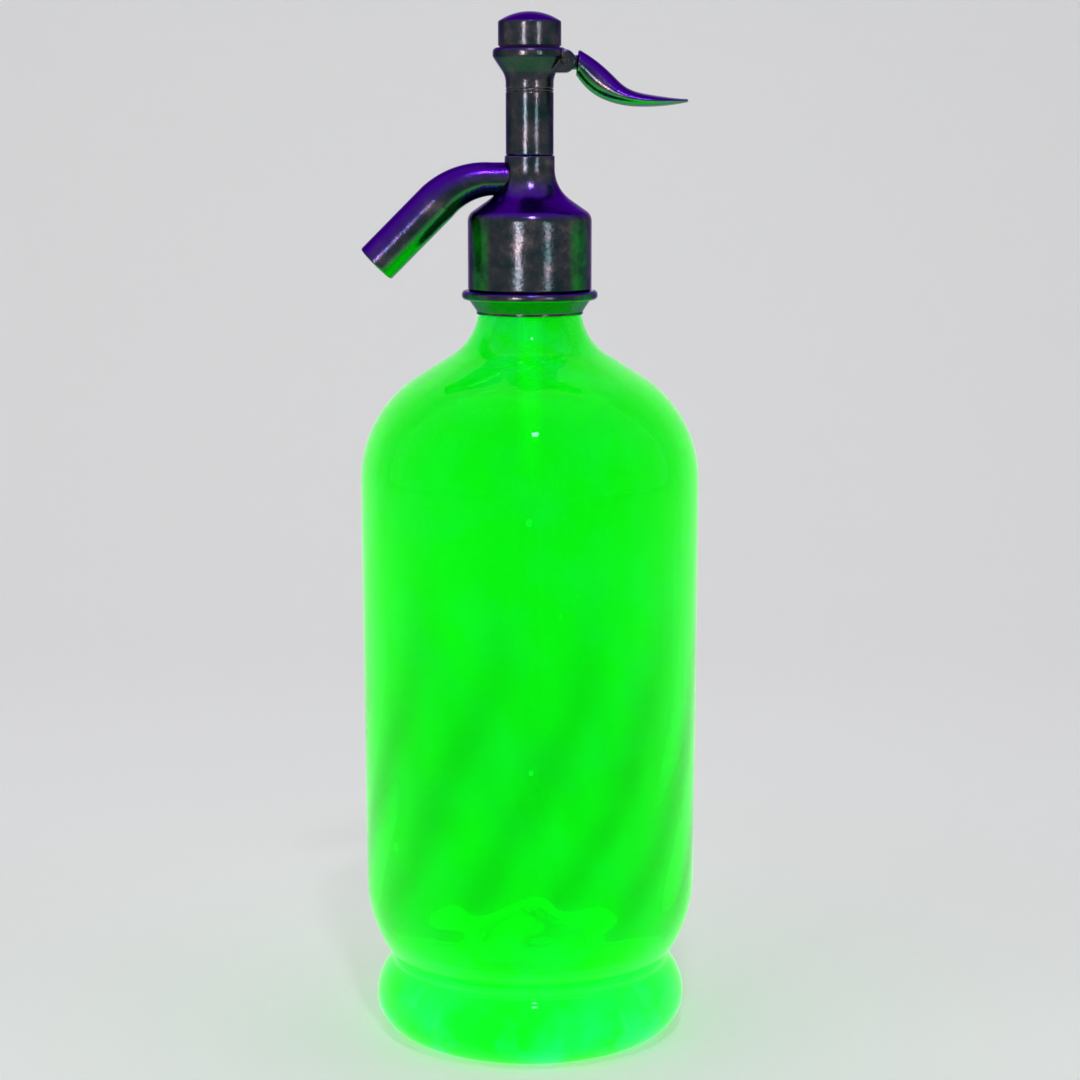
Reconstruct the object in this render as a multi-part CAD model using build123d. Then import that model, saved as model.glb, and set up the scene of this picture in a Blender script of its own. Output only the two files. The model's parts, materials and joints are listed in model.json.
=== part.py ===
from build123d import *
import math
import os

# A lever soda siphon: a glass bottle with a rolled foot and a pewter head that is clamped to its neck.
# Millimetres. +Z is up. The origin is the centre of the ring that the bottle stands on.
# The spout points along -X and the lever along +X, so both lie in the XZ plane.

# ---- bottle, outside ----
body_radius = 50.0            # at the shoulder
heel_radius = 49.5            # the wall tapers in to this at the heel
heel_height = 46.0
foot_radius = 46.7
foot_bulge_height = 9.4       # where the foot is widest
rest_radius = 39.0            # outer edge of the flat ring that it stands on
rest_width = 4.0
waist_radius = 41.6           # groove between foot and body
waist_bottom = 20.0
waist_groove = 2.4
waist_round = 1.0
shoulder_height = 167.2
shoulder_radius = 36.0
shoulder_slope = 58.0         # degrees from upright, at the steepest part
neck_start_radius = 22.9      # where the slope gives way to the neck's hollow curve
neck_radius = 15.3            # where the glass meets the collar
neck_rise = 11.9              # height of the hollow curve
kick_height = 10.0            # hollow under the base

# ---- bottle, inside ----
wall = 4.6
floor_height = 24.0
floor_round = 14.0
floor_crown = 2.5
neck_bore = 9.8
neck_bore_round = 18.0

# ---- twisted ribs, pressed into the inner wall ----
rib_count = 12
rib_depth = 0.75
rib_rise = 102.0              # from where the inner wall turns upright
rib_lean = 31.0               # degrees from upright at the foot, fading to none at the top
rib_section_count = 11        # places along their height where their form is set out

# ---- glass lip that the head clamps ----
groove_radius = 12.9
groove_height = 9.1
bead_radius = 15.3
bead_height = 9.6
bead_round = 1.8

# ---- split collar ----
collar_gap = 0.2              # collar to glass
collar_saw_cut = 0.5          # between the two halves
bevel_height = 4.2
bevel_land = 0.8              # upright edge at the bevel's foot
bevel_foot_radius = 15.6
bevel_top_radius = 17.9
flange_radius = 19.9
flange_thickness = 2.6
flange_rounding = 0.42        # edge round, as a share of the thickness
collar_thread_height = 6.3    # above the flange
gasket_thickness = 1.6
washer_thickness = 2.4

# ---- head body ----
skirt_radius = 18.1
skirt_wall = 1.6
skirt_height = 20.1
skirt_foot_round = 0.8
crown_round = 3.6             # outer corner of the skirt
crown_slope = 55.0            # degrees from upright
crown_cove = 11.0             # hollow round up to the stub
stub_radius = 7.3
stub_height = 3.8
seam_chamfer = 0.35
thread_play = 0.1
thread_run_out = 0.8

# ---- water way ----
spout_drop = 6.8              # spout axis below the seam
packing_bore = 4.0
packing_depth = 4.8           # below the seam
packing_thickness = 1.8
gland_washer_thickness = 0.8
chamber_radius = 3.5
chamber_depth = 14.0          # below the seam
seat_radius = 3.0
seat_bore = 1.6
seat_rise = 1.3
seat_length = 4.7
nut_radius = 6.0
nut_end_gap = 0.6
nut_flats = 14.0
nut_head_height = 3.2
nut_lip = 1.5
tube_radius = 3.6
tube_wall = 1.5
tube_floor_gap = 6.0
tube_end_slant = 30.0         # degrees
bush_wall = 1.05
bush_lip = 1.0
bush_lip_reach = 0.5          # how far the lip stands out

# ---- valve ----
stem_radius = 2.0
stem_play = 0.06
valve_radius = 2.7
valve_height = 3.2
valve_disc_radius = 2.3
valve_disc_thickness = 2.3
valve_disc_stand = 0.9        # how far the disc stands out of its holder
stem_tip_radius = 1.4
valve_screw_radius = 0.7
valve_screw_head_radius = 1.2
valve_screw_head_height = 0.8

# ---- column and cup ----
column_radius = 6.95
column_height = 22.5          # seam to the foot of the cup
guide_height = 7.0
column_bore = 2.7
ring_groove_count = 2         # turned lines below the cup
ring_groove = 0.25            # their depth
ring_groove_width = 0.35
ring_groove_pitch = 0.9
ring_groove_drop = 3.6         # first line below the foot of the cup
cup_radius = 10.7
cup_height = 8.2
cup_foot_round = 6.0
cup_rim_round = 1.3
chamber_bore = 6.6
crosshead_bore = 4.9
chamber_floor = 0.5           # above the foot of the cup
cap_neck_radius = 8.0
cap_neck_height = 5.2

# ---- lever and pin ----
pin_reach = 10.0              # pin axis from the column's axis
pin_drop = 3.9                # pin axis below the cup's rim
pin_radius = 1.1
pin_play = 0.06
pin_head = 0.3                # how far each end stands proud
ear_radius = 3.3
ear_thickness = 2.3
ear_round = 0.5               # along the outer edges of the ears
lever_width = 5.0             # of the tongue, between the ears
lever_side_play = 0.2
hub_radius = 2.4
tongue_half = 1.5
nose_radius = 2.0
nose_play = 0.1
neck_step = 0.7               # how far the neck's top lies below the hub's
neck_round = 0.6              # along the neck's edges
handle_root_round = 0.6
handle_root_lean = 5.0        # degrees that the end next to the hub leans from upright
press_angle = 15.0            # degrees that the handle goes down

# ---- stem head, spring and cap ----
crosshead_radius = 4.5
crosshead_bridge = 1.3        # above the nose's slot
crosshead_floor = 1.2         # below the nose's slot
spring_flange_radius = 6.0
spring_boss_radius = 4.0
spring_boss_height = 1.0
spring_radius = 4.9
spring_wire = 1.1
spring_turns = 3.3
spring_ground = 0.25          # share of the wire ground off each end
cap_radius = 9.14
cap_side_height = 6.9
cap_dome = 2.85
cap_edge_round = 0.7
cap_roof = 3.0
cap_washer_thickness = 0.5
cap_washer_inset = 0.4        # its edge lies this far inside the cap's

# ---- spout ----
spout_bend_radius = 22.0
spout_turn = 45.0             # degrees below level
spout_start = 11.2            # where the bend begins
spout_straight = 25.8
spout_root_radius = 4.8
spout_radius = 6.2
spout_bore = 1.9
spout_mouth_bore = 3.3
spout_spigot_radius = 3.2
spout_spigot_depth = 2.7      # into the stub
spout_mouth_round = 0.6

# ---- modelling ----
overcut = 1.0                 # how far a cut runs past the face that it opens
touch = 1e-4                  # corners this near to a line lie on it


# ---- heights that follow from the sizes above ----
slope = math.radians(shoulder_slope)
shoulder_end = (
    body_radius - shoulder_radius * (1 - math.cos(slope)),
    shoulder_height + shoulder_radius * math.sin(slope),
)
rib_bottom = floor_height + floor_round
rib_top = rib_bottom + rib_rise
neck_start = shoulder_end[1] + (shoulder_end[0] - neck_start_radius) / math.tan(slope)
neck_top = neck_start + neck_rise
bead_bottom = neck_top + groove_height
bead_top = bead_bottom + bead_height
collar_foot = neck_top + collar_gap
skirt_foot = collar_foot + bevel_height + flange_thickness
collar_seat = bead_bottom - gasket_thickness
ledge = bead_top + washer_thickness
crown = math.radians(crown_slope)
crown_start = skirt_foot + skirt_height
crown_round_end = (
    skirt_radius - crown_round * (1 - math.cos(crown)),
    crown_start + crown_round * math.sin(crown),
)
crown_cove_start = (
    stub_radius + crown_cove * (1 - math.cos(crown)),
    crown_round_end[1]
    + (crown_round_end[0] - stub_radius - crown_cove * (1 - math.cos(crown))) / math.tan(crown),
)
crown_top = crown_cove_start[1] + crown_cove * math.sin(crown)
seam = crown_top + stub_height
spout_axis = seam - spout_drop
packing_seat = seam - packing_depth
chamber_foot = seam - chamber_depth
seat_top = chamber_foot + seat_rise
seat_foot = seat_top - seat_length
cup_foot = seam + column_height
cup_top = cup_foot + cup_height
pin_height = cup_top - pin_drop
chamber_base = cup_foot + chamber_floor
crosshead_foot = pin_height - nose_radius - nose_play - crosshead_floor
crosshead_top = pin_height + nose_radius + nose_play + crosshead_bridge
spring_room = pin_height + nose_radius - nose_play
cap_foot = cup_top + cap_washer_thickness
cap_side_top = cap_foot + cap_side_height
cap_top = cap_side_top + cap_dome
cap_ceiling = cap_top - cap_roof
spout_angle = math.radians(spout_turn)


def turned(outline):
    """The solid that a closed outline, drawn as (radius, height), makes when it turns about Z."""
    return revolve(Plane.XZ * make_face(outline), Axis.Z)


def drum(radius, bottom, top):
    """A solid cylinder about Z between two heights."""
    return Pos(0, 0, (bottom + top) / 2) * Cylinder(radius, top - bottom)


def ring(outer, inner, bottom, top):
    """A flat ring about Z between two heights."""
    return drum(outer, bottom, top) - drum(inner, bottom - overcut, top + overcut)


def bottle_outside():
    """The bottle's outer form, solid, up to the top of the bead."""
    rest_inner = (rest_radius - rest_width, 0)
    rest_outer = (rest_radius, 0)
    bulge = (foot_radius, foot_bulge_height)
    waist_low = (waist_radius, waist_bottom)
    waist_high = (waist_radius, waist_bottom + waist_groove)
    heel = (heel_radius, heel_height)
    shoulder = (body_radius, shoulder_height)
    neck_low = (neck_start_radius, neck_start)
    neck_high = (neck_radius, neck_top)
    outline = Line((0, kick_height), (0, bead_top))
    outline += TangentArc((0, kick_height), rest_inner, tangent=(1, 0))
    outline += Line(rest_inner, rest_outer)
    outline += TangentArc(bulge, rest_outer, tangent=(0, -1))
    outline += TangentArc(bulge, waist_low, tangent=(0, 1))
    outline += Line(waist_low, waist_high)
    outline += TangentArc(heel, waist_high, tangent=(0, -1))
    outline += Line(heel, shoulder)
    outline += TangentArc(shoulder, shoulder_end, tangent=(0, 1))
    outline += Line(shoulder_end, neck_low)
    outline += TangentArc(neck_low, neck_high, tangent=(-math.sin(slope), math.cos(slope)))
    outline += Polyline(
        neck_high,
        (groove_radius, neck_top),
        (groove_radius, bead_bottom),
        (bead_radius, bead_bottom),
        (bead_radius, bead_top),
        (0, bead_top),
    )
    face = make_face(outline)
    waist = face.vertices().filter_by(lambda v: abs(v.X - waist_radius) < touch)
    face = fillet(waist, waist_round)
    bead = face.vertices().filter_by(lambda v: abs(v.X - bead_radius) < touch)
    face = fillet(bead, bead_round)
    return revolve(Plane.XZ * face, Axis.Z)


def bottle_inside():
    """The space in the bottle, as a solid that runs on through the mouth."""
    wall_end = (
        shoulder_end[0] - wall * math.cos(slope),
        shoulder_end[1] - wall * math.sin(slope),
    )
    bore_start_radius = neck_bore + neck_bore_round * (1 - math.cos(slope))
    bore_start = wall_end[1] + (wall_end[0] - bore_start_radius) / math.tan(slope)
    bore_end = bore_start + neck_bore_round * math.sin(slope)
    heel = (heel_radius - wall, rib_bottom)
    shoulder = (body_radius - wall, shoulder_height)
    floor_edge = (heel_radius - wall - floor_round, floor_height)
    floor_middle = (0, floor_height + floor_crown)
    opening = bead_top + overcut
    outline = Line(floor_middle, (0, opening))
    outline += TangentArc(floor_middle, floor_edge, tangent=(1, 0))
    outline += TangentArc(heel, floor_edge, tangent=(0, -1))
    outline += Line(heel, shoulder)
    outline += TangentArc(shoulder, wall_end, tangent=(0, 1))
    outline += Line(wall_end, (bore_start_radius, bore_start))
    outline += TangentArc((neck_bore, bore_end), (bore_start_radius, bore_start), tangent=(0, -1))
    outline += Polyline((neck_bore, bore_end), (neck_bore, opening), (0, opening))
    return turned(outline)


def rib_ring(height, depth, turn):
    """The fluted wall's outline at one height: shallow arcs that meet in the ribs' crests."""
    taper = (height - rib_bottom) / (shoulder_height - rib_bottom)
    hollow = heel_radius + (body_radius - heel_radius) * taper - wall
    crest = hollow - depth
    edges = []
    for step in range(rib_count):
        places = []
        for share, reach in ((0.0, crest), (0.5, hollow), (1.0, crest)):
            angle = turn + 2 * math.pi * (step + share) / rib_count
            places.append((reach * math.cos(angle), reach * math.sin(angle), height))
        edges.append(ThreePointArc(*places))
    return make_face(edges)


def ribbed_space():
    """The stretch of the bottle's inside whose wall is pressed into twisted flutes."""
    sections = []
    steepest = math.tan(math.radians(rib_lean)) / (body_radius - wall)
    for step in range(rib_section_count):
        share = step / (rib_section_count - 1)
        turn = steepest * rib_rise * (share - share**3 / 3)
        depth = rib_depth * math.sin(math.pi * math.sqrt(share))
        sections.append(rib_ring(rib_bottom + rib_rise * share, depth, turn))
    return loft(sections)


def bottle():
    """The blown bottle, with its twisted ribs on the inner wall."""
    inside = bottle_inside()
    span = 3 * body_radius
    stretch = Pos(0, 0, (rib_bottom + rib_top) / 2) * Box(span, span, rib_rise)
    return bottle_outside() - (inside - stretch) - ribbed_space()


def collar_ring():
    """The clamp collar before it is sawn in two: bevel, flange and threaded sleeve."""
    inner = groove_radius + collar_gap
    sleeve_inner = bead_radius + collar_gap
    sleeve_outer = skirt_radius - skirt_wall - thread_play
    flange_foot = collar_foot + bevel_height
    outline = Polyline(
        (inner, collar_foot),
        (bevel_foot_radius, collar_foot),
        (bevel_foot_radius, collar_foot + bevel_land),
        (bevel_top_radius, flange_foot),
        (flange_radius, flange_foot),
        (flange_radius, skirt_foot),
        (sleeve_outer, skirt_foot),
        (sleeve_outer, skirt_foot + collar_thread_height),
        (sleeve_inner, skirt_foot + collar_thread_height),
        (sleeve_inner, collar_seat),
        (inner, collar_seat),
        (inner, collar_foot),
    )
    face = make_face(outline)
    edge = face.vertices().filter_by(lambda v: abs(v.X - flange_radius) < touch)
    face = fillet(edge, flange_thickness * flange_rounding)
    return revolve(Plane.XZ * face, Axis.Z)


def collar_half(side):
    """One half of the collar: side is -1 for the front one and +1 for the rear one."""
    span = 3 * flange_radius
    middle = (collar_foot + skirt_foot) / 2
    block = Pos(0, side * (span + collar_saw_cut) / 2, middle) * Box(span, span, span)
    return collar_ring() & block


def bead_gasket():
    """The split ring between the bead's underside and the collar."""
    return ring(bead_radius, groove_radius + thread_play, collar_seat, bead_bottom)


def neck_washer():
    """The flat rubber seal between the bead and the head."""
    return ring(bead_radius, neck_bore, bead_top, ledge)


def head_outside():
    """The head casting's outer form, solid."""
    skirt_top = (skirt_radius, crown_start)
    stub_low = (stub_radius, crown_top)
    outline = Line((0, skirt_foot), (skirt_radius, skirt_foot))
    outline += Line((skirt_radius, skirt_foot), skirt_top)
    outline += TangentArc(skirt_top, crown_round_end, tangent=(0, 1))
    outline += Line(crown_round_end, crown_cove_start)
    outline += TangentArc(stub_low, crown_cove_start, tangent=(0, -1))
    outline += Polyline(
        stub_low,
        (stub_radius, seam - seam_chamfer),
        (stub_radius - seam_chamfer, seam),
        (0, seam),
        (0, skirt_foot),
    )
    face = make_face(outline)
    foot = face.vertices().filter_by(lambda v: v.X > skirt_radius - touch and v.Y < skirt_foot + touch)
    face = fillet(foot, skirt_foot_round)
    return revolve(Plane.XZ * face, Axis.Z)


def head_body():
    """The casting that carries everything: threaded skirt, crown, valve chamber and stub."""
    body = head_outside()
    thread_top = skirt_foot + collar_thread_height + thread_run_out
    body -= drum(skirt_radius - skirt_wall, skirt_foot - overcut, thread_top)
    body -= drum(bead_radius + collar_gap, skirt_foot, ledge)
    body -= drum(nut_radius, ledge - overcut, seat_foot)
    body -= drum(seat_radius, seat_foot - overcut, chamber_foot + overcut)
    body -= drum(chamber_radius, chamber_foot, packing_seat + overcut)
    body -= drum(packing_bore, packing_seat, seam + overcut)
    across = Rot(0, -90, 0)
    low = (Align.CENTER, Align.CENTER, Align.MIN)
    body -= Pos(0, 0, spout_axis) * across * Cylinder(spout_bore, stub_radius, align=low)
    spigot_end = Pos(spout_spigot_depth - stub_radius, 0, spout_axis)
    body -= spigot_end * across * Cylinder(spout_spigot_radius, stub_radius, align=low)
    return body


def spout_path():
    """The spout's axis from inside the stub to its mouth, as line, bend and line."""
    bend_end = (
        -spout_start - spout_bend_radius * math.sin(spout_angle),
        spout_axis - spout_bend_radius * (1 - math.cos(spout_angle)),
    )
    mouth = (
        bend_end[0] - spout_straight * math.cos(spout_angle),
        bend_end[1] - spout_straight * math.sin(spout_angle),
    )
    bend = TangentArc((-spout_start, spout_axis), bend_end, tangent=(-1, 0))
    return bend, bend_end, mouth


def spout():
    """The tapered bend and straight nozzle, coped to the stub, with the spigot that is soldered in."""
    bend, bend_end, mouth = spout_path()
    path = Plane.XZ * bend
    root_plane = Plane(origin=(-spout_start, 0, spout_axis), z_dir=(-1, 0, 0))
    run = (-math.cos(spout_angle), 0, -math.sin(spout_angle))
    bend_plane = Plane(origin=(bend_end[0], 0, bend_end[1]), z_dir=run)
    mouth_plane = Plane(origin=(mouth[0], 0, mouth[1]), z_dir=run)
    outer = sweep(
        [root_plane * Circle(spout_root_radius), bend_plane * Circle(spout_radius)],
        path=path,
        multisection=True,
    )
    root = extrude(root_plane * Circle(spout_root_radius), -(spout_start - stub_radius / 2))
    nozzle = extrude(bend_plane * Circle(spout_radius), spout_straight)
    rim = nozzle.faces().sort_by(Axis.Z)[0].edges()
    nozzle = fillet(rim, spout_mouth_round)
    body = (outer + root + nozzle) - head_outside()
    spigot_length = spout_start - stub_radius + spout_spigot_depth
    spigot = extrude(root_plane * Circle(spout_spigot_radius), -spigot_length)
    body += spigot
    body -= extrude(root_plane * Circle(spout_bore), -spout_start)
    body -= sweep(root_plane * Circle(spout_bore), path=path)
    body -= extrude(bend_plane * Circle(spout_mouth_bore), spout_straight + overcut)
    return body


def valve_seat():
    """The brass ring that the valve closes on."""
    return ring(seat_radius, seat_bore, seat_foot, seat_top)


def tube_nut():
    """The hexagon nut under the head that grips the dip tube's bush."""
    body = drum(nut_radius - thread_play, ledge, seat_foot - nut_end_gap)
    hexagon = RegularPolygon(nut_flats / 2, 6, major_radius=False)
    body += extrude(Pos(0, 0, ledge - nut_head_height) * hexagon, nut_head_height)
    bush_radius = tube_radius + bush_wall
    body -= drum(bush_radius, ledge - nut_head_height - overcut, seat_foot - nut_end_gap - nut_lip)
    body -= drum(tube_radius - tube_wall, ledge, seat_foot)
    return body


def tube_bush():
    """The rubber sleeve between nut and dip tube, with a lip below the nut."""
    bottom = ledge - nut_head_height
    top = seat_foot - nut_end_gap - nut_lip
    body = drum(tube_radius + bush_wall, bottom, top)
    body += drum(tube_radius + bush_wall + bush_lip_reach, bottom - bush_lip, bottom)
    return body - drum(tube_radius, bottom - bush_lip - overcut, top + overcut)


def dip_tube():
    """The glass tube that reaches almost to the bottle's floor, cut on a slant at its foot."""
    bottom = floor_height + floor_crown + tube_floor_gap
    top = seat_foot - nut_end_gap - nut_lip
    body = ring(tube_radius, tube_radius - tube_wall, bottom, top)
    tilt = math.radians(tube_end_slant)
    cutter = Box(8 * tube_radius, 8 * tube_radius, 4 * tube_radius)
    drop = 2 * tube_radius / math.cos(tilt) - tube_radius * math.tan(tilt)
    return body - Pos(0, 0, bottom - drop) * Rot(0, tube_end_slant, 0) * cutter


def packing():
    """The ring that seals the stem."""
    return ring(packing_bore, stem_radius + stem_play, packing_seat, packing_seat + packing_thickness)


def gland_washer():
    """The washer between the packing and the column's spigot."""
    bottom = packing_seat + packing_thickness
    return ring(packing_bore - thread_play, stem_radius + stem_play, bottom, bottom + gland_washer_thickness)


def ears():
    """The two cheeks that carry the lever's pin, still solid between them."""
    width = lever_width + 2 * lever_side_play + 2 * ear_thickness
    lug = Pos(pin_reach, 0, pin_height) * Rot(90, 0, 0) * Cylinder(ear_radius, width)
    web = Pos(pin_reach / 2, 0, pin_height) * Box(pin_reach, width, 2 * ear_radius)
    body = lug + web
    outer_edges = body.edges().filter_by(lambda e: abs(abs(e.center().Y) - width / 2) < touch)
    return fillet(outer_edges, ear_round)


def ring_cut(radius, depth, bottom, width):
    """What a tool takes off when it turns a groove into a round face."""
    outer = drum(radius + overcut, bottom, bottom + width)
    return outer - drum(radius - depth, bottom - overcut, bottom + width + overcut)


def column():
    """Guide column, flared cup, ears and the threaded neck for the cap."""
    spigot_foot = packing_seat + packing_thickness + gland_washer_thickness
    outline = Polyline(
        (0, spigot_foot),
        (packing_bore - thread_play, spigot_foot),
        (packing_bore - thread_play, seam),
        (column_radius - seam_chamfer, seam),
        (column_radius, seam + seam_chamfer),
        (column_radius, cup_foot),
        (cup_radius, cup_top - 2 * cup_rim_round),
        (cup_radius, cup_top),
        (cap_neck_radius, cup_top),
        (cap_neck_radius, cup_top + cap_neck_height),
        (0, cup_top + cap_neck_height),
        (0, spigot_foot),
    )
    face = make_face(outline)
    foot = face.vertices().filter_by(lambda v: abs(v.Y - cup_foot) < touch)
    face = fillet(foot, cup_foot_round)
    rim = face.vertices().filter_by(lambda v: abs(v.X - cup_radius) < touch)
    face = fillet(rim, cup_rim_round)
    body = revolve(Plane.XZ * face, Axis.Z) + ears()
    for step in range(ring_groove_count):
        height = cup_foot - ring_groove_drop - step * ring_groove_pitch
        body -= ring_cut(column_radius, ring_groove, height, ring_groove_width)
    body -= drum(stem_radius + stem_play, spigot_foot - overcut, spigot_foot + guide_height + overcut)
    body -= drum(column_bore, spigot_foot + guide_height, chamber_base + overcut)
    body -= drum(crosshead_bore, chamber_base, cup_top)
    body -= drum(chamber_bore, spring_room, cup_top + cap_neck_height + overcut)
    gap = lever_width + 2 * lever_side_play
    reach = pin_reach + 2 * ear_radius
    press = math.radians(press_angle)
    swing = (pin_reach - chamber_bore) * math.sin(press)
    neck_fall = hub_radius / math.cos(press) + (cup_radius - pin_reach) * math.tan(press)
    slot_foot = pin_height - neck_fall - lever_side_play
    slot_top = pin_height + tongue_half + swing + 2 * lever_side_play
    slot_top = max(slot_top, pin_height + hub_radius + lever_side_play)
    body -= Pos(reach / 2, 0, (slot_foot + slot_top) / 2) * Box(reach, gap, slot_top - slot_foot)
    lug_gap = 3 * ear_radius
    body -= Pos(cup_radius + lug_gap / 2, 0, pin_height) * Box(lug_gap, gap, lug_gap)
    body -= Pos(pin_reach, 0, pin_height) * Rot(90, 0, 0) * Cylinder(pin_radius, 4 * lever_width)
    return body


def lever_pin():
    """The pin through both ears, riveted over at its ends."""
    length = lever_width + 2 * lever_side_play + 2 * ear_thickness + 2 * pin_head
    body = Pos(pin_reach, 0, pin_height) * Rot(90, 0, 0) * Cylinder(pin_radius, length)
    return chamfer(body.edges().filter_by(GeomType.CIRCLE), pin_head)


# The handle's stations along its length: place along X, drop below the pin, thickness and width.
handle_stations = (
    (14.3, 0.65, 7.6, 8.2),
    (17.4, 3.15, 7.5, 9.0),
    (19.8, 5.35, 7.8, 9.8),
    (23.2, 7.9, 6.9, 11.0),
    (26.7, 9.7, 5.4, 12.2),
    (31.4, 10.9, 4.1, 13.4),
    (36.2, 11.3, 3.2, 13.8),
    (41.0, 11.4, 2.1, 12.0),
    (44.2, 11.3, 1.3, 8.4),
    (45.4, 11.2, 1.0, 5.0),
    (45.8, 11.15, 0.8, 2.0),
)


def handle_end():
    """The rounded end next to the hub, lofted from ovals that grow to the first station's."""
    place, drop, thickness, width = handle_stations[0]
    lean = math.radians(handle_root_lean)
    run = (math.cos(lean), 0, -math.sin(lean))
    full = Plane(origin=(place, 0, pin_height - drop), x_dir=(0, 1, 0), z_dir=run)
    sections = []
    for turn in (0, 30, 60, 90):
        angle = math.radians(turn)
        inset = handle_root_round * (1 - math.sin(angle))
        plane = full.offset(-handle_root_round * math.cos(angle))
        sections.append(plane * Ellipse(width / 2 - inset, thickness / 2 - inset))
    return loft(sections)


def handle():
    """The curved thumb piece, lofted through oval sections that stand square to its run."""
    sections = []
    lean = math.radians(handle_root_lean)
    last = len(handle_stations) - 1
    for index, (place, drop, thickness, width) in enumerate(handle_stations):
        before = handle_stations[max(index - 1, 0)]
        after = handle_stations[min(index + 1, last)]
        run = Vector(after[0] - before[0], 0, before[1] - after[1]).normalized()
        if index == 0:
            run = Vector(math.cos(lean), 0, -math.sin(lean))
        plane = Plane(origin=(place, 0, pin_height - drop), x_dir=(0, 1, 0), z_dir=run)
        sections.append(plane * Ellipse(width / 2, thickness / 2))
    return loft(sections) + handle_end()


def lever_neck():
    """The bar between hub and handle, with its edges rounded."""
    length = handle_stations[0][0] - pin_reach
    height = 2 * hub_radius - neck_step
    bar = Box(length, lever_width, height)
    bar = fillet(bar.edges().filter_by(Axis.X), neck_round)
    return Pos(pin_reach + length / 2, 0, pin_height - neck_step / 2) * bar


def lever():
    """Handle, hub, tongue and nose in one casting."""
    body = handle() + lever_neck()
    across = Rot(90, 0, 0)
    body += Pos(pin_reach, 0, pin_height) * across * Cylinder(hub_radius, lever_width)
    body += Pos(pin_reach / 2, 0, pin_height) * Box(pin_reach, lever_width, 2 * tongue_half)
    body += Pos(0, 0, pin_height) * across * Cylinder(nose_radius, lever_width)
    body -= Pos(pin_reach, 0, pin_height) * across * Cylinder(pin_radius + pin_play, 2 * lever_width)
    return body


def nose_slot():
    """The slot in the crosshead, open on the lever's side and flared below for the tongue's tilt."""
    half = nose_radius + nose_play
    mouth = crosshead_radius + overcut
    press = math.radians(press_angle)
    fall = mouth * math.sin(press) + tongue_half / math.cos(press)
    flare = max(half, fall + nose_play)
    outline = Polyline(
        (-half - nose_play, pin_height + half),
        (mouth, pin_height + half),
        (mouth, pin_height - flare),
        (0, pin_height - half),
        (-half - nose_play, pin_height - half),
        (-half - nose_play, pin_height + half),
    )
    width = lever_width + 2 * lever_side_play
    return extrude(Plane.XZ * make_face(outline), width / 2, both=True)


def valve_stem():
    """The rod with the crosshead that the lever lifts and the flange that the spring sits on."""
    tip_foot = seat_top + valve_disc_thickness
    holder_top = seat_top + valve_disc_stand + valve_height
    body = drum(stem_radius, holder_top, crosshead_foot + overcut)
    body += drum(stem_tip_radius, tip_foot, holder_top)
    body += drum(crosshead_radius, crosshead_foot, crosshead_top)
    body += drum(spring_flange_radius, crosshead_top - crosshead_bridge, crosshead_top)
    body += drum(spring_boss_radius, crosshead_top, crosshead_top + spring_boss_height)
    body -= nose_slot()
    return body - drum(valve_screw_radius, tip_foot, holder_top)


def valve_holder():
    """The brass cup that carries the valve's rubber disc."""
    foot = seat_top + valve_disc_stand
    top = foot + valve_height
    body = drum(valve_radius, foot, top)
    body -= drum(valve_disc_radius, foot - overcut, seat_top + valve_disc_thickness)
    return body - drum(stem_tip_radius, foot, top + overcut)


def valve_disc():
    """The rubber disc that shuts the water off."""
    return ring(valve_disc_radius, valve_screw_radius, seat_top, seat_top + valve_disc_thickness)


def valve_screw():
    """The screw that holds the disc in its cup."""
    tip_top = seat_top + valve_disc_stand + valve_height
    head = drum(valve_screw_head_radius, seat_top - valve_screw_head_height, seat_top)
    return head + drum(valve_screw_radius, seat_top, tip_top)


def spring():
    """The return spring, with its two ends ground flat."""
    height = cap_ceiling - crosshead_top
    ground = spring_wire * spring_ground
    rise = height - 2 * ground
    start = crosshead_top + ground
    path = Pos(0, 0, start) * Helix(rise / spring_turns, rise, spring_radius)
    plane = Plane(origin=path @ 0, z_dir=path % 0)
    coil = sweep(plane * Circle(spring_wire / 2), path=path, is_frenet=True)
    return coil & drum(2 * spring_radius, crosshead_top, cap_ceiling)


def cap_washer():
    """The thin washer under the cap."""
    return ring(cap_radius - cap_washer_inset, cap_neck_radius + thread_play, cup_top, cap_foot)


def top_cap():
    """The domed screw cap over the spring."""
    outline = Line((0, cap_foot), (cap_radius, cap_foot))
    outline += Line((cap_radius, cap_foot), (cap_radius, cap_side_top))
    outline += TangentArc((0, cap_top), (cap_radius, cap_side_top), tangent=(1, 0))
    outline += Line((0, cap_top), (0, cap_foot))
    face = make_face(outline)
    edge = face.vertices().filter_by(
        lambda v: abs(v.X - cap_radius) < touch and abs(v.Y - cap_side_top) < touch
    )
    face = fillet(edge, cap_edge_round)
    body = revolve(Plane.XZ * face, Axis.Z)
    body -= drum(cap_neck_radius + thread_play, cap_foot - overcut, cup_top + cap_neck_height + thread_play)
    return body - drum(chamber_bore, cap_foot, cap_ceiling)


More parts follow.
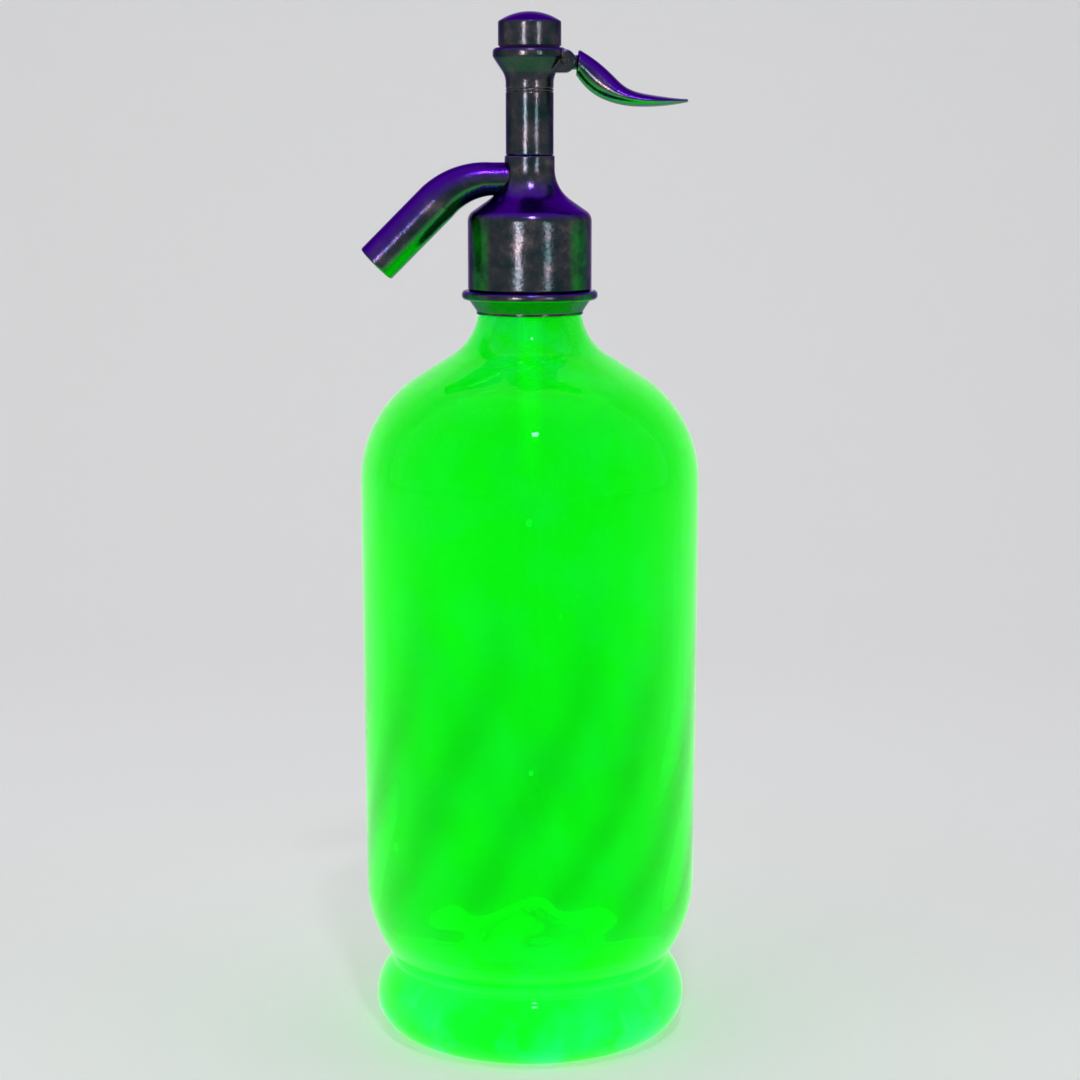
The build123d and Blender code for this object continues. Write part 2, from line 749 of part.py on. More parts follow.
def main():
    """Build every piece and write one STEP file for each."""
    parts = {
        "bottle": bottle(),
        "dip_tube": dip_tube(),
        "tube_bush": tube_bush(),
        "tube_nut": tube_nut(),
        "collar_half_front": collar_half(-1),
        "collar_half_rear": collar_half(1),
        "bead_gasket": bead_gasket(),
        "neck_washer": neck_washer(),
        "head_body": head_body(),
        "spout": spout(),
        "valve_seat": valve_seat(),
        "valve_disc": valve_disc(),
        "valve_holder": valve_holder(),
        "valve_screw": valve_screw(),
        "valve_stem": valve_stem(),
        "packing": packing(),
        "gland_washer": gland_washer(),
        "column": column(),
        "lever": lever(),
        "lever_pin": lever_pin(),
        "spring": spring(),
        "cap_washer": cap_washer(),
        "top_cap": top_cap(),
    }
    os.makedirs("parts", exist_ok=True)
    for name, shape in parts.items():
        export_step(shape, f"parts/{name}.step")


main()
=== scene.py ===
import json
import math
import random

import bmesh
import bpy
from mathutils import Matrix, Vector


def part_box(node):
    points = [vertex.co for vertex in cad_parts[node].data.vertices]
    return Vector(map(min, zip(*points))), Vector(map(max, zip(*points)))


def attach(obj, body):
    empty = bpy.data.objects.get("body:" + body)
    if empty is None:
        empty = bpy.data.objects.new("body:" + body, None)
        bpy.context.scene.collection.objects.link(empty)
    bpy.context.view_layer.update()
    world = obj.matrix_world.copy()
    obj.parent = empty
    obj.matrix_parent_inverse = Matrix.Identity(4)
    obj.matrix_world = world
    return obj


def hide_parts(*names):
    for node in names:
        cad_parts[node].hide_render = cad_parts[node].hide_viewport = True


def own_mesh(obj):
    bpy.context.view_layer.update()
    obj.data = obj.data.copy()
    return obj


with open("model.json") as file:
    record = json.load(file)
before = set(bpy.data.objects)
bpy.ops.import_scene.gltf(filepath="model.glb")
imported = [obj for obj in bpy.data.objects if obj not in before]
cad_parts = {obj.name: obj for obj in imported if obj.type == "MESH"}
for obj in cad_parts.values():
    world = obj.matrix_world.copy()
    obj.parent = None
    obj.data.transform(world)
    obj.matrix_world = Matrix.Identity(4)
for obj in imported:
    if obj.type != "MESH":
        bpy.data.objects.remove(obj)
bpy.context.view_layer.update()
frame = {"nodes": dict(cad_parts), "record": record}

MM = 0.001
ROOT = "siphon"

# ---- camera ----
IMAGE_SIZE = 1080.0            # pixels, both ways
FOCAL_PIXELS = 2439.0          # focal length in pixels of the image
SENSOR = 36.0                  # width in millimetres
CAMERA_DISTANCE = 717.1 * MM
CAMERA_HEIGHT = 268.0 * MM
CAMERA_SIDE = 3.0 * MM
CAMERA_PITCH = math.radians(9.44)
CLIP_NEAR = 0.01
CLIP_FAR = 50.0

# ---- bottle, outside: radii and heights in millimetres ----
BODY_RADIUS = 50.0
HEEL = (49.5, 46.0)            # radius and height where the heel's curve meets the body
FOOT_BULGE = (46.7, 9.4)       # radius and height of the foot's widest ring
KICK_HEIGHT = 10.0             # how far the base is hollowed in the middle
REST_OUTER = 39.0              # the ring that the bottle stands on
REST_INNER = 35.0
WAIST_RADIUS = 41.6            # the crease between foot and heel
WAIST_LOW = 20.0
WAIST_HIGH = 22.4
SHOULDER_HEIGHT = 167.2
SHOULDER_RADIUS = 36.0
SHOULDER_SLOPE = math.radians(58.0)
NECK_START_RADIUS = 22.9
NECK_RADIUS = 15.3
NECK_RISE = 11.9
GROOVE_RADIUS = 12.9           # the groove below the lip's bead, where the collar grips
GROOVE_HEIGHT = 9.1
GROOVE_ROUND = 0.6
BEAD_RADIUS = 15.3
BEAD_HEIGHT = 9.6
BEAD_ROUND = 1.8
EDGE = 0.3                     # bevel of the neck's top and the groove's top

# ---- bottle, inside ----
WALL = 4.6
FLOOR_HEIGHT = 24.0
FLOOR_ROUND = 14.0
FLOOR_CROWN = 2.5
FLOOR_START = (-1, 0.2)        # direction in which the floor leaves its rounding
INNER_HEEL = HEEL[0] - WALL
NECK_BORE = 9.8
NECK_BORE_ROUND = 18.0
MOUTH_BEVEL = 0.5
RIB_COUNT = 12
RIB_DEPTH = 0.75
RIB_HEIGHT = 102.0
RIB_BOTTOM = FLOOR_HEIGHT + FLOOR_ROUND
RIB_LEAN = math.radians(31.0)  # at the ribs' foot, where they lean most
RIB_TURN_FROM = -0.3           # the ribs go on turning this far below their foot, as a share of their height
RIB_REACH = 8.0                # the ribs run this far in over the floor's rounding
RIB_TURN = math.tan(RIB_LEAN) / (BODY_RADIUS - WALL) * RIB_HEIGHT  # radians, at that lean all the way
BOTTLE_SEGMENTS = 192

# ---- directions of a profile line, as radius and height ----
OUTWARD = (1, 0)
UP = (0, 1)
DOWN = (0, -1)
UP_THE_SLOPE = (-math.sin(SHOULDER_SLOPE), math.cos(SHOULDER_SLOPE))

# ---- points of the outer line that round its corners ----
KICK_EDGE = (REST_INNER - 1.5, 1.2)
REST_RING = [(REST_INNER - 0.5, 0.3), (REST_INNER + 0.3, 0.0), (REST_OUTER - 1.0, 0.0)]
FOOT_START = (REST_OUTER - 0.4, 0.0)
WAIST_START = (WAIST_RADIUS + 0.5, WAIST_LOW)
WAIST_MIDDLE = (WAIST_LOW + WAIST_HIGH) / 2
WAIST_CREASE = [
    (WAIST_RADIUS + 0.05, WAIST_MIDDLE - 0.5),
    (WAIST_RADIUS, WAIST_MIDDLE),
    (WAIST_RADIUS + 0.1, WAIST_MIDDLE + 0.4),
]

NO_BEND = 1e-9                 # an arc that bends less than this is a straight line
ON_AXIS = 1e-6                 # a point with less radius than this lies on the axis


def tangent_arc(start, end, tangent, steps):
    """Points from start to end on the circle that leaves start along tangent. Start isn't repeated."""
    along = Vector(tangent).normalized()
    chord = Vector(end) - Vector(start)
    side = Vector((-along.y, along.x))
    across = chord.dot(side)
    if abs(across) < NO_BEND:
        return [tuple(Vector(start) + chord * (k / steps)) for k in range(1, steps + 1)]
    radius = chord.length_squared / (2 * across)
    centre = Vector(start) + side * radius
    first = Vector(start) - centre
    last = Vector(end) - centre
    sweep = math.atan2(first.x * last.y - first.y * last.x, first.dot(last))
    if sweep * radius < 0:
        sweep += math.copysign(2 * math.pi, radius)
    points = []
    for k in range(1, steps + 1):
        turn = Matrix.Rotation(sweep * k / steps, 2)
        points.append(tuple(centre + turn @ first))
    return points


def arc_to_start(start, end, tangent, steps):
    """The same arc walked back from end to start. End isn't repeated."""
    return tangent_arc(start, end, tangent, steps)[-2::-1] + [start]


def straight(start, end, steps):
    """Evenly spaced points from start to end. Start isn't repeated."""
    return [tuple(Vector(start).lerp(Vector(end), k / steps)) for k in range(1, steps + 1)]


def shoulder_end(drop):
    """Where the shoulder's arc gives way to the straight slope, drop millimetres inside the glass."""
    return (
        BODY_RADIUS - SHOULDER_RADIUS * (1 - math.cos(SHOULDER_SLOPE)) - drop * math.cos(SHOULDER_SLOPE),
        SHOULDER_HEIGHT + (SHOULDER_RADIUS - drop) * math.sin(SHOULDER_SLOPE),
    )


SHOULDER_END = shoulder_end(0.0)
NECK_START = SHOULDER_END[1] + (SHOULDER_END[0] - NECK_START_RADIUS) / math.tan(SHOULDER_SLOPE)
NECK_TOP = NECK_START + NECK_RISE
BEAD_BOTTOM = NECK_TOP + GROOVE_HEIGHT
BEAD_TOP = BEAD_BOTTOM + BEAD_HEIGHT


def foot_and_waist():
    """The lower part of the outside, from the middle of the base to the heel."""
    line = [(0.0, KICK_HEIGHT)]
    line += tangent_arc(line[-1], KICK_EDGE, OUTWARD, steps=14)
    line += REST_RING
    line += arc_to_start(FOOT_BULGE, FOOT_START, DOWN, steps=16)
    line += tangent_arc(FOOT_BULGE, WAIST_START, UP, steps=14)
    line += WAIST_CREASE
    line += arc_to_start(HEEL, (WAIST_RADIUS, WAIST_HIGH), DOWN, steps=22)
    return line


def outer_profile():
    """The bottle's outside from the middle of the base up to the mouth."""
    line = foot_and_waist()
    line += straight(HEEL, (BODY_RADIUS, SHOULDER_HEIGHT), steps=12)
    line += tangent_arc(line[-1], SHOULDER_END, UP, steps=22)
    line += straight(line[-1], (NECK_START_RADIUS, NECK_START), steps=5)
    line += tangent_arc(line[-1], (NECK_RADIUS, NECK_TOP - EDGE), UP_THE_SLOPE, steps=14)
    line += [(NECK_RADIUS - EDGE, NECK_TOP), (GROOVE_RADIUS + GROOVE_ROUND, NECK_TOP)]
    line += [(GROOVE_RADIUS, NECK_TOP + GROOVE_ROUND)]
    line += straight(line[-1], (GROOVE_RADIUS, BEAD_BOTTOM - EDGE), steps=4)
    line += [(GROOVE_RADIUS + EDGE, BEAD_BOTTOM)]
    bead_start = (BEAD_RADIUS - BEAD_ROUND, BEAD_BOTTOM)
    line += tangent_arc(bead_start, (BEAD_RADIUS, BEAD_BOTTOM + BEAD_ROUND), OUTWARD, steps=6)
    line += straight(line[-1], (BEAD_RADIUS, BEAD_TOP - BEAD_ROUND), steps=3)
    line += tangent_arc(line[-1], (BEAD_RADIUS - BEAD_ROUND, BEAD_TOP), UP, steps=6)
    return line


def inner_profile():
    """The inside wall from the mouth down to the middle of the floor."""
    slope_end = shoulder_end(WALL)
    bore_start_radius = NECK_BORE + NECK_BORE_ROUND * (1 - math.cos(SHOULDER_SLOPE))
    bore_start = slope_end[1] + (slope_end[0] - bore_start_radius) / math.tan(SHOULDER_SLOPE)
    bore_end = bore_start + NECK_BORE_ROUND * math.sin(SHOULDER_SLOPE)
    floor_edge = (INNER_HEEL - FLOOR_ROUND, FLOOR_HEIGHT)
    heel = (INNER_HEEL, RIB_BOTTOM)
    shoulder = (BODY_RADIUS - WALL, SHOULDER_HEIGHT)
    line = [(NECK_BORE + MOUTH_BEVEL, BEAD_TOP), (NECK_BORE, BEAD_TOP - MOUTH_BEVEL)]
    line += straight(line[-1], (NECK_BORE, bore_end), steps=8)
    line += tangent_arc(line[-1], (bore_start_radius, bore_start), DOWN, steps=14)
    line += straight(line[-1], slope_end, steps=4)
    line += arc_to_start(shoulder, slope_end, UP, steps=20)
    line += straight(shoulder, heel, steps=56)
    line += tangent_arc(heel, floor_edge, DOWN, steps=24)
    line += tangent_arc(line[-1], (0.0, FLOOR_HEIGHT + FLOOR_CROWN), FLOOR_START, steps=10)
    return line


def rib_turn(height):
    """How far the ribs have turned round the axis at a height, in radians."""
    share = min(max((height - RIB_BOTTOM) / RIB_HEIGHT, RIB_TURN_FROM), 1.0)
    return RIB_TURN * (share - share**3 / 3)


def rib_strength(height):
    """1 where the ribs are deepest, 0 where they have faded out."""
    share = (height - RIB_BOTTOM) / RIB_HEIGHT
    share = min(max(share, 0.0), 1.0)
    return math.sin(math.pi * math.sqrt(share))


def finished(name, mesh):
    """The object of a mesh that has been built, in the scene."""
    data = bpy.data.meshes.new(name)
    mesh.to_mesh(data)
    mesh.free()
    piece = bpy.data.objects.new(name, data)
    bpy.context.scene.collection.objects.link(piece)
    return piece


def revolved(name, profile, segments, move):
    """A (radius, height) line in millimetres turned about Z; move gives each point's radius at its angle."""
    mesh = bmesh.new()
    rows = []
    for radius, height in profile:
        if radius < ON_AXIS:
            rows.append([mesh.verts.new((0, 0, height * MM))])
            continue
        row = []
        for step in range(segments):
            angle = 2 * math.pi * step / segments
            reach = move(radius, height, angle)
            place = (reach * math.cos(angle) * MM, reach * math.sin(angle) * MM, height * MM)
            row.append(mesh.verts.new(place))
        rows.append(row)
    for low, high in zip(rows, rows[1:]):
        for step in range(segments):
            after = (step + 1) % segments
            if len(low) == 1:
                mesh.faces.new((low[0], high[after], high[step]))
            elif len(high) == 1:
                mesh.faces.new((low[step], low[after], high[0]))
            else:
                mesh.faces.new((low[step], low[after], high[after], high[step]))
    bmesh.ops.recalc_face_normals(mesh, faces=mesh.faces)
    for face in mesh.faces:
        face.smooth = True
    return finished(name, mesh)


def make_bottle():
    """Outer and inner wall in one closed mesh, so that light bends through both."""
    outer = outer_profile()
    inner = inner_profile()
    inside = set(inner)

    def pressed(radius, height, angle):
        if (radius, height) not in inside or radius < INNER_HEEL - RIB_REACH:
            return radius
        wave = math.cos(RIB_COUNT * (angle - rib_turn(height)))
        return radius - RIB_DEPTH * rib_strength(height) * (1 + wave) / 2

    piece = revolved("bottle_glass", outer + inner, BOTTLE_SEGMENTS, pressed)
    piece.data.materials.append(LOOKS["green_glass"])
    outer_faces = (len(outer) - 1) * BOTTLE_SEGMENTS
    wall = piece.data.attributes.new(OUTER_WALL, "FLOAT", "FACE")
    wall.data.foreach_set("value", [float(index < outer_faces) for index in range(len(piece.data.polygons))])
    return piece


# ---- return spring inside the cap, in millimetres ----
COIL_RADIUS = 4.9
COIL_WIRE = 1.1
COIL_TURNS = 3.3
COIL_GROUND = 0.25             # share of the wire that is ground off each end
COIL_STEPS = 36                # to a turn
WIRE_SEGMENTS = 12


def make_spring():
    """A coil spring with flat ends, at the length that it has at rest."""
    low, high = (corner.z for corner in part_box("spring"))
    first = low + COIL_WIRE * COIL_GROUND * MM
    rise = high - low - 2 * COIL_WIRE * COIL_GROUND * MM
    steps = round(COIL_STEPS * COIL_TURNS)
    mesh = bmesh.new()
    rings = []
    for step in range(steps + 1):
        share = step / steps
        angle = 2 * math.pi * COIL_TURNS * share
        outward = Vector((math.cos(angle), math.sin(angle), 0))
        ring = []
        for k in range(WIRE_SEGMENTS):
            turn = 2 * math.pi * k / WIRE_SEGMENTS
            point = outward * (COIL_RADIUS + COIL_WIRE / 2 * math.cos(turn)) * MM
            point.z = first + rise * share + COIL_WIRE / 2 * math.sin(turn) * MM
            point.z = min(max(point.z, low), high)
            ring.append(mesh.verts.new(point))
        rings.append(ring)
    for ring, following in zip(rings, rings[1:]):
        for k in range(WIRE_SEGMENTS):
            after = (k + 1) % WIRE_SEGMENTS
            mesh.faces.new((ring[k], following[k], following[after], ring[after]))
    mesh.faces.new(rings[0])
    mesh.faces.new(rings[-1][::-1])
    bmesh.ops.recalc_face_normals(mesh, faces=mesh.faces)
    piece = finished("spring_coil", mesh)
    piece.data.materials.append(LOOKS["steel"])
    return piece


# ---- bubbles in the wall: height, azimuth from the front in degrees, radius, in millimetres ----
SEEN_BUBBLES = [(161.6, 0.0, 0.8), (90.0, 0.6, 0.6), (62.7, -53.0, 0.9)]
MORE_BUBBLES = 14
MORE_HEIGHTS = (50, 165)
MORE_AZIMUTHS = (60, 330)
MORE_RADII = (0.3, 0.7)
BUBBLE_DEPTH = 2.2             # from the outer wall to a bubble's middle
BUBBLE_STRETCH = 1.3           # height of a bubble for its width
BUBBLE_SEED = 7


def make_bubbles():
    """Small air bubbles, a little drawn out upwards, those in view in their places and the rest scattered."""
    chance = random.Random(BUBBLE_SEED)
    places = list(SEEN_BUBBLES)
    for _ in range(MORE_BUBBLES):
        height = chance.uniform(*MORE_HEIGHTS)
        azimuth = chance.uniform(*MORE_AZIMUTHS)
        places.append((height, azimuth, chance.uniform(*MORE_RADII)))
    mesh = bmesh.new()
    for height, azimuth, radius in places:
        angle = math.radians(azimuth - 90)
        reach = BODY_RADIUS - BUBBLE_DEPTH
        where = Vector((reach * math.cos(angle), reach * math.sin(angle), height)) * MM
        stretch = Matrix.Diagonal((radius * MM, radius * MM, BUBBLE_STRETCH * radius * MM, 1.0))
        form = Matrix.Translation(where) @ stretch
        bmesh.ops.create_icosphere(mesh, subdivisions=3, radius=1.0, matrix=form)
    for face in mesh.faces:
        face.smooth = True
    piece = finished("bubbles", mesh)
    piece.data.materials.append(bubble_material())
    return piece


# ---- glass ----
GLASS_COLOUR = (0.01, 0.85, 0.015)
GLASS_CLEARNESS = 0.74         # share of the light that goes through a wall
GLASS_GLOSS = (0.05, 1.0, 0.1)
OUTER_WALL = "outer_wall"      # 1 on the faces of the outer wall, 0 on those of the inner one
GLASS_GLOW = 0.3               # of the outer wall
GLOW_COLOUR = (0.0, 1.0, 0.0)
MINT = (0.03, 1.0, 0.55)       # the glow's colour in painted mint highlights at foot and neck and in the streaks
DEPTH_GLOW = 8.0               # inside the glass, for each metre that a ray goes through
DEPTH_COLOUR = (0.08, 1.0, 0.45)
GLOW_BY_HEIGHT = [             # height in metres, share of the glow
    (0.000, 1.00),
    (0.018, 0.84),
    (0.024, 0.62),
    (0.036, 0.92),
    (0.090, 0.86),
    (0.135, 0.98),
    (0.172, 0.84),
    (0.200, 0.62),
    (0.216, 0.44),
    (0.235, 0.40),
]
GLOW_TOP = GLOW_BY_HEIGHT[-1][0]
MINT_BY_HEIGHT = [(0.02, 0.8), (0.09, 0.25), (0.2, 0.05), (0.84, 0.1), (0.92, 1.0)]  # height for GLOW_TOP
BODY_TOP = 0.2                 # metres; the next two lists give heights as shares of it
RIB_BY_HEIGHT = [(0.15, 0.0), (0.26, 1.0), (0.5, 0.85), (0.68, 0.3), (0.82, 0.0)]
STREAK_BY_HEIGHT = [(0.2, 0.0), (0.3, 1.0), (0.7, 0.8), (0.85, 0.0)]
PATCH_LEAST = 0.7              # the glow's clouds: their least share
PATCH_SPAN = 0.6               # and how far they go above it
RIB_SHADE = 0.52               # how much a rib dims the glow
RIB_SHARPNESS = 1.5
RIB_WOBBLE = 3.0               # how far clouds push the ribs' shade about, in radians of its wave
# painted highlight streaks: where they lie, how much they brighten the glow and how mint they turn it
STREAK_SIDE = [(0.6, 0.0), (0.9, 1.0)]  # how far out to the lever's side, for the body's radius
STREAK_GLOW = 0.2
STREAK_MINT = 0.22
STREAK_SQUEEZE = (1.0, 1.0, 0.03)  # of the streaks' noise, so that it runs upright
TUBE_GLOW_FROM = 0.16          # height in metres from which the dip tube glows
TUBE_GLOW_RISE = 3.0           # for each metre above it
TUBE_GLOW_MOST = 0.08
TUBE_GLOW_SOFTNESS = 0.06

# ---- metal ----
EDGE_ROUND = 0.45 * MM         # how far the metal's edges look rounded
VIOLET_FROM = 0.25             # how far up a face looks before it takes the painted violet light
VIOLET_SPREAD = 0.5            # and how much further until it is violet altogether
VIOLET_SHARE = 0.95            # the most painted violet light in the colour
GREEN_FROM = 0.45              # the same three for faces that look down, for the painted green reflection of the glass
GREEN_SPREAD = 0.3
GREEN_SHARE = 0.8
RUBBED_SHARE = 0.7             # the most bare metal at a rubbed edge
PEWTER_TONES = [
    (0.30, (0.01, 0.03, 0.029)),
    (0.44, (0.024, 0.038, 0.044)),
    (0.56, (0.046, 0.05, 0.058)),
    (0.72, (0.12, 0.11, 0.11)),
]
PEWTER_GLOSS = (0.5, 0.4, 0.65)
# painted violet light, as from a lamp above, on faces that look up
VIOLET = (0.065, 0.002, 0.34)
# painted reflection of the glass's green at the skirt's flanks
FLANK_PAINTED_GREEN = (0.015, 0.26, 0.03)
FLANK_BAND = [(0.62, 0.0), (0.74, 1.0), (0.86, 1.0), (0.95, 0.0)]  # how far a face looks sideways
FLANK_BY_HEIGHT = [(0.0, 1.0), (0.35, 1.0), (0.5, 0.0)]  # from the collar's top to the spout's
RUBBED = (0.26, 0.22, 0.23)


class Nodes:
    """Short names for making the nodes of a material or of the world."""

    def __init__(self, owner):
        owner.use_nodes = True
        self.owner = owner
        self.tree = owner.node_tree
        self.shader = self.tree.nodes.get("Principled BSDF")

    def put(self, socket, value):
        """Gives a socket a plain value, or links another node's output to it. Colours have no alpha."""
        if hasattr(value, "is_output"):
            self.tree.links.new(value, socket)
        elif socket.type == "RGBA":
            socket.default_value = (*value, 1.0)
        else:
            socket.default_value = value

    def add(self, kind, **settings):
        """A new node. A setting is an input where the node has one of that name, and else a property."""
        node = self.tree.nodes.new(kind)
        for key, value in settings.items():
            if key in node.inputs:
                self.put(node.inputs[key], value)
            else:
                setattr(node, key, value)
        return node

    def surface(self, settings):
        """Sets the shader's own sockets by their names."""
        for key, value in settings.items():
            self.put(self.shader.inputs[key], value)

    def math(self, operation, *values):
        node = self.add("ShaderNodeMath", operation=operation)
        for socket, value in zip(node.inputs, values):
            self.put(socket, value)
        return node.outputs[0]

    def product(self, first, *others):
        for other in others:
            first = self.math("MULTIPLY", first, other)
        return first

    def ramp(self, factor, stops):
        """A colour by factor; stops are pairs of place and colour."""
        node = self.add("ShaderNodeValToRGB", Fac=factor)
        ramp = node.color_ramp
        while len(ramp.elements) < len(stops):
            ramp.elements.new(0.5)
        for element, (place, colour) in zip(ramp.elements, stops):
            element.position = place
            element.color = (*colour, 1.0)
        return node.outputs["Color"]

    def level(self, factor, stops):
        """A number by factor; stops are pairs of place and number."""
        return self.ramp(factor, [(place, (value, value, value)) for place, value in stops])

    def mix(self, factor, first, second):
        """A colour between two."""
        return self.add("ShaderNodeMix", data_type="RGBA", Factor=factor, A=first, B=second).outputs["Result"]

    def noise(self, where, scale, detail, roughness):
        node = self.add("ShaderNodeTexNoise", Vector=where, Scale=scale, Detail=detail, Roughness=roughness)
        return node.outputs["Fac"]

    def place(self):
        """The point's own place on its piece."""
        return self.add("ShaderNodeTexCoord").outputs["Object"]

    def parts(self, vector):
        """X, Y and Z of a vector."""
        return self.add("ShaderNodeSeparateXYZ", Vector=vector).outputs

    def bump(self, height, strength, distance, **settings):
        """Fine relief, as the shader's normal."""
        node = self.add("ShaderNodeBump", Height=height, Strength=strength, Distance=distance, **settings)
        self.surface({"Normal": node.outputs["Normal"]})


def new_material(name):
    return Nodes(bpy.data.materials.new(name))


def rib_wave(n, at, wobble):
    """Cosine of the ribs' pattern at a point, from its place on the bottle: 1 on a rib, -1 in a flute."""
    angle = n.math("ARCTAN2", at["Y"], at["X"])
    share = n.math("DIVIDE", n.math("SUBTRACT", at["Z"], RIB_BOTTOM * MM), RIB_HEIGHT * MM)
    share = n.math("MINIMUM", n.math("MAXIMUM", share, RIB_TURN_FROM), 1.0)
    bend = n.math("DIVIDE", n.product(share, share, share), 3.0)
    turn = n.product(n.math("SUBTRACT", share, bend), RIB_TURN)
    phase = n.product(n.math("SUBTRACT", angle, turn), float(RIB_COUNT))
    return n.math("COSINE", n.math("ADD", phase, wobble))


def rib_shade(n, place, at):
    """1 between the ribs and less where one dims the glow, with soft and crooked borders."""
    cloud = n.noise(place, scale=22.0, detail=2.0, roughness=0.45)
    wobble = n.product(n.math("SUBTRACT", cloud, 0.5), RIB_WOBBLE)
    wave = rib_wave(n, at, wobble)
    rib = n.math("POWER", n.math("MULTIPLY_ADD", wave, 0.5, 0.5), RIB_SHARPNESS)
    extent = n.level(n.math("DIVIDE", at["Z"], BODY_TOP), RIB_BY_HEIGHT)
    return n.math("SUBTRACT", 1.0, n.product(rib, extent, RIB_SHADE))


def painted_highlight_streaks(n, place, at):
    """0 to 1: thin upright painted highlight streaks on the lever's side of the body."""
    side = n.level(n.math("DIVIDE", at["X"], BODY_RADIUS * MM), STREAK_SIDE)
    zone = n.level(n.math("DIVIDE", at["Z"], BODY_TOP), STREAK_BY_HEIGHT)
    upright = n.add("ShaderNodeMapping", Vector=place, Scale=STREAK_SQUEEZE).outputs["Vector"]
    lines = n.level(n.noise(upright, scale=330.0, detail=2.0, roughness=0.5), [(0.5, 0.0), (0.7, 1.0)])
    return n.product(side, zone, lines)


def glass_glow(n, place, at, streaks):
    """How strongly the outer wall glows: less on ribs and towards the neck, and in cloudy patches."""
    by_height = n.level(
        n.math("DIVIDE", at["Z"], GLOW_TOP),
        [(height / GLOW_TOP, share) for height, share in GLOW_BY_HEIGHT],
    )
    cloud = n.noise(place, scale=14.0, detail=4.0, roughness=0.55)
    patches = n.math("MULTIPLY_ADD", cloud, PATCH_SPAN, PATCH_LEAST)
    brighter = n.math("MULTIPLY_ADD", streaks, STREAK_GLOW, 1.0)
    wall = n.add("ShaderNodeAttribute", attribute_name=OUTER_WALL).outputs["Fac"]
    return n.product(by_height, patches, rib_shade(n, place, at), brighter, wall, GLASS_GLOW)


def glow_colour(n, place, at, streaks):
    """Green, and mint in the painted highlight streaks and in painted mint highlights in patches at foot and
    neck.
    """
    where = n.level(n.math("DIVIDE", at["Z"], GLOW_TOP), MINT_BY_HEIGHT)
    spots = n.level(n.noise(place, scale=45.0, detail=3.0, roughness=0.6), [(0.44, 0.0), (0.62, 1.0)])
    minted = n.math("MAXIMUM", n.product(where, spots), n.product(streaks, STREAK_MINT))
    return n.mix(minted, GLOW_COLOUR, MINT)


def glass_material():
    """Green glass that glows by itself, on its outer wall and a little in its depth."""
    n = new_material("green_glass")
    place = n.place()
    at = n.parts(place)
    streaks = painted_highlight_streaks(n, place, at)
    n.surface({
        "Base Color": GLASS_COLOUR,
        "Transmission Weight": GLASS_CLEARNESS,
        "IOR": 1.5,
        "Roughness": 0.04,
        "Specular Tint": GLASS_GLOSS,
        "Specular IOR Level": 0.3,
        "Emission Color": glow_colour(n, place, at, streaks),
        "Emission Strength": glass_glow(n, place, at, streaks),
    })
    depth = n.add("ShaderNodeEmission", Color=DEPTH_COLOUR, Strength=DEPTH_GLOW)
    n.put(n.tree.nodes["Material Output"].inputs["Volume"], depth.outputs[0])
    return n.owner


def bubble_material():
    """Air in glass: light bends the other way at its skin."""
    n = new_material("air_bubble")
    n.surface({
        "Base Color": (0.8, 1.0, 0.85),
        "Transmission Weight": 1.0,
        "IOR": 0.67,
        "Roughness": 0.02,
        # A faint painted green glow, as of the glass around the bubble.
        "Emission Color": (0.05, 1.0, 0.25),
        "Emission Strength": 0.12,
    })
    return n.owner


def tube_glass_material():
    """Pale glass for the dip tube, with a faint glow of its own towards the neck."""
    n = new_material("tube_glass")
    rise = n.product(n.math("SUBTRACT", n.parts(n.place())["Z"], TUBE_GLOW_FROM), TUBE_GLOW_RISE)
    glow = n.math("SMOOTH_MIN", rise, TUBE_GLOW_MOST, TUBE_GLOW_SOFTNESS)
    n.surface({
        "Base Color": (0.6, 1.0, 0.6),
        "Transmission Weight": 1.0,
        "Roughness": 0.08,
        "IOR": 1.06,
        "Emission Color": (0.1, 1.0, 0.15),
        "Emission Strength": n.math("MAXIMUM", glow, 0.0),
    })
    return n.owner


def painted_flank_reflection(n, place, sideways, mottle):
    """0 to 1: patchy upright bands at both flanks of the skirt, a painted reflection of the glass's green."""
    low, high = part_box("collar_half_front")[1].z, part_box("spout")[1].z
    share = n.math("DIVIDE", n.math("SUBTRACT", n.parts(place)["Z"], low), high - low)
    zone = n.level(share, FLANK_BY_HEIGHT)
    band = n.level(n.math("ABSOLUTE", sideways), FLANK_BAND)
    patches = n.level(mottle, [(0.4, 0.25), (0.6, 0.9)])
    return n.product(zone, band, patches)


def worn_edges(n, normal, soft_normal, mottle):
    """0 to 1: where an edge is rubbed bright, found by how far its rounded normal leans away."""
    match = n.add("ShaderNodeVectorMath", operation="DOT_PRODUCT")
    n.put(match.inputs[0], normal)
    n.put(match.inputs[1], soft_normal)
    worn = n.level(match.outputs["Value"], [(0.86, 1.0), (0.985, 0.0)])
    return n.product(n.level(mottle, [(0.35, 0.2), (0.6, 1.0)]), worn)


